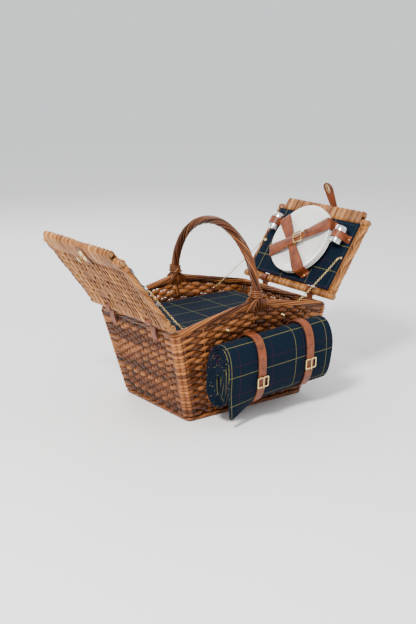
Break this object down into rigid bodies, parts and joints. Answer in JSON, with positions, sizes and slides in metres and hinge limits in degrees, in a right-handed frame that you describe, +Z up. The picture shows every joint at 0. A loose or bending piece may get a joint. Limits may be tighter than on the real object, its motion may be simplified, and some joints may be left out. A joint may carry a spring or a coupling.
{
  "type": "wicker picnic basket",
  "caption": "Wicker picnic basket with two hinged lids, arched handle, fitted cooler, strapped plates, shakers, cutlery and a rolled tweed blanket.",
  "frame": {"origin": "middle of the underside of the base", "axes": "+X along the basket's length to the viewer's right, +Y from the blanket side to the back, +Z up"},
  "size_m": [0.8801, 0.497, 0.5675],
  "materials": {
    "brown_willow": "woven steamed willow rods, satin",
    "golden_willow": "woven golden willow rods, satin",
    "navy_tweed": "navy wool tweed with a thin olive and red window-pane check",
    "tan_leather": "smooth tan bridle leather, stitched, edges burnished",
    "brass": "polished brass",
    "china": "white glazed ceramic",
    "steel": "polished stainless steel"
  },
  "bodies": {
    "basket": {"base_panel": "brown_willow", "foot_border": "brown_willow", "front_wall": "brown_willow", "back_wall": "brown_willow", "left_wall": "brown_willow", "right_wall": "brown_willow", "corner_post_front_left": "brown_willow", "corner_post_front_right": "brown_willow", "corner_post_back_left": "brown_willow", "corner_post_back_right": "brown_willow", "rim_front": "brown_willow", "rim_back": "brown_willow", "rim_left": "brown_willow", "rim_right": "brown_willow", "handle_arch": "brown_willow", "handle_binding_front": "brown_willow", "handle_binding_back": "brown_willow", "hinge_strap_left_front": "tan_leather", "hinge_strap_left_back": "tan_leather", "hinge_strap_right_front": "tan_leather", "hinge_strap_right_back": "tan_leather", "cooler_tub": "navy_tweed", "blanket_strap_left": "tan_leather", "blanket_strap_right": "tan_leather", "blanket_buckle_left": "brass", "blanket_buckle_right": "brass", "chain_left_front": "brass", "chain_left_back": "brass", "chain_right_front": "brass", "chain_right_back": "brass"},
    "left_lid": {"left_lid_panel": "golden_willow", "left_lid_hinge_stick": "golden_willow", "left_lid_lining": "navy_tweed", "lock_plate": "brass", "cutlery_band": "tan_leather", "knife_stack": "steel", "fork_stack": "steel", "spoon_stack": "steel"},
    "right_lid": {"right_lid_panel": "golden_willow", "right_lid_hinge_stick": "golden_willow", "right_lid_lining": "navy_tweed", "plate_1": "china", "plate_2": "china", "plate_3": "china", "plate_4": "china", "plate_strap_long": "tan_leather", "plate_strap_cross": "tan_leather", "plate_buckle": "brass", "salt_loop": "tan_leather", "pepper_loop": "tan_leather"},
    "turn_button": {"turn_button": "brass"},
    "clasp": {"clasp_strap": "tan_leather", "clasp_plate": "brass"},
    "salt_shaker": {"salt_shaker": "steel"},
    "pepper_shaker": {"pepper_shaker": "steel"},
    "cooler_lid": {"cooler_lid": "navy_tweed"},
    "blanket": {"picnic_blanket": "navy_tweed"},
    "left_strap_prong": {"blanket_prong_left": "brass"},
    "right_strap_prong": {"blanket_prong_right": "brass"},
    "plate_strap_prong": {"plate_prong": "brass"}
  },
  "joints": [
    {"name": "left_lid_hinge", "type": "hinge", "parent": "basket", "child": "left_lid", "pos_m": [-0.2737, 0, 0.2772], "axis": [0, 1, 0], "range_deg": [0, 117.2], "deforming": ["chain_left_front", "chain_left_back"]},
    {"name": "right_lid_hinge", "type": "hinge", "parent": "basket", "child": "right_lid", "pos_m": [0.2737, 0, 0.2772], "axis": [0, -1, 0], "range_deg": [0, 114.6], "deforming": ["chain_right_front", "chain_right_back"]},
    {"name": "turn_button_turn", "type": "hinge", "parent": "left_lid", "child": "turn_button", "pos_m": [-0.42689, -0.015, 0.44725], "axis": [-0.7986, 0, -0.6018], "range_deg": [0, 90]},
    {"name": "clasp_fold", "type": "hinge", "parent": "right_lid", "child": "clasp", "pos_m": [0.43694, -0.015, 0.49083], "axis": [0, 1, 0], "range_deg": [-15, 45]},
    {"name": "salt_shaker_slide", "type": "slide", "parent": "right_lid", "child": "salt_shaker", "axis": [-0.565, 0, -0.8251], "range_m": [-0.06, 0]},
    {"name": "pepper_shaker_slide", "type": "slide", "parent": "right_lid", "child": "pepper_shaker", "axis": [-0.565, 0, -0.8251], "range_m": [-0.06, 0]},
    {"name": "cooler_lid_hinge", "type": "hinge", "parent": "basket", "child": "cooler_lid", "pos_m": [0.193, 0, 0.2334], "axis": [0, -1, 0], "range_deg": [-28, 0]},
    {"name": "blanket_slide", "type": "slide", "parent": "basket", "child": "blanket", "axis": [-0.9981, 0, -0.061], "range_m": [-0.36, 0]},
    {"name": "left_strap_prong_swing", "type": "hinge", "parent": "basket", "child": "left_strap_prong", "pos_m": [-0.05129, -0.28689, 0.1315], "axis": [0.9981, 0, 0.061], "range_deg": [-100, 0]},
    {"name": "right_strap_prong_swing", "type": "hinge", "parent": "basket", "child": "right_strap_prong", "pos_m": [0.1131, -0.28807, 0.15157], "axis": [0.9981, 0, 0.061], "range_deg": [-100, 0]},
    {"name": "plate_strap_prong_swing", "type": "hinge", "parent": "right_lid", "child": "plate_strap_prong", "pos_m": [0.30764, -0.01369, 0.42412], "axis": [-0.4645, -0.5693, -0.6784], "range_deg": [-100, 0]}
  ]
}
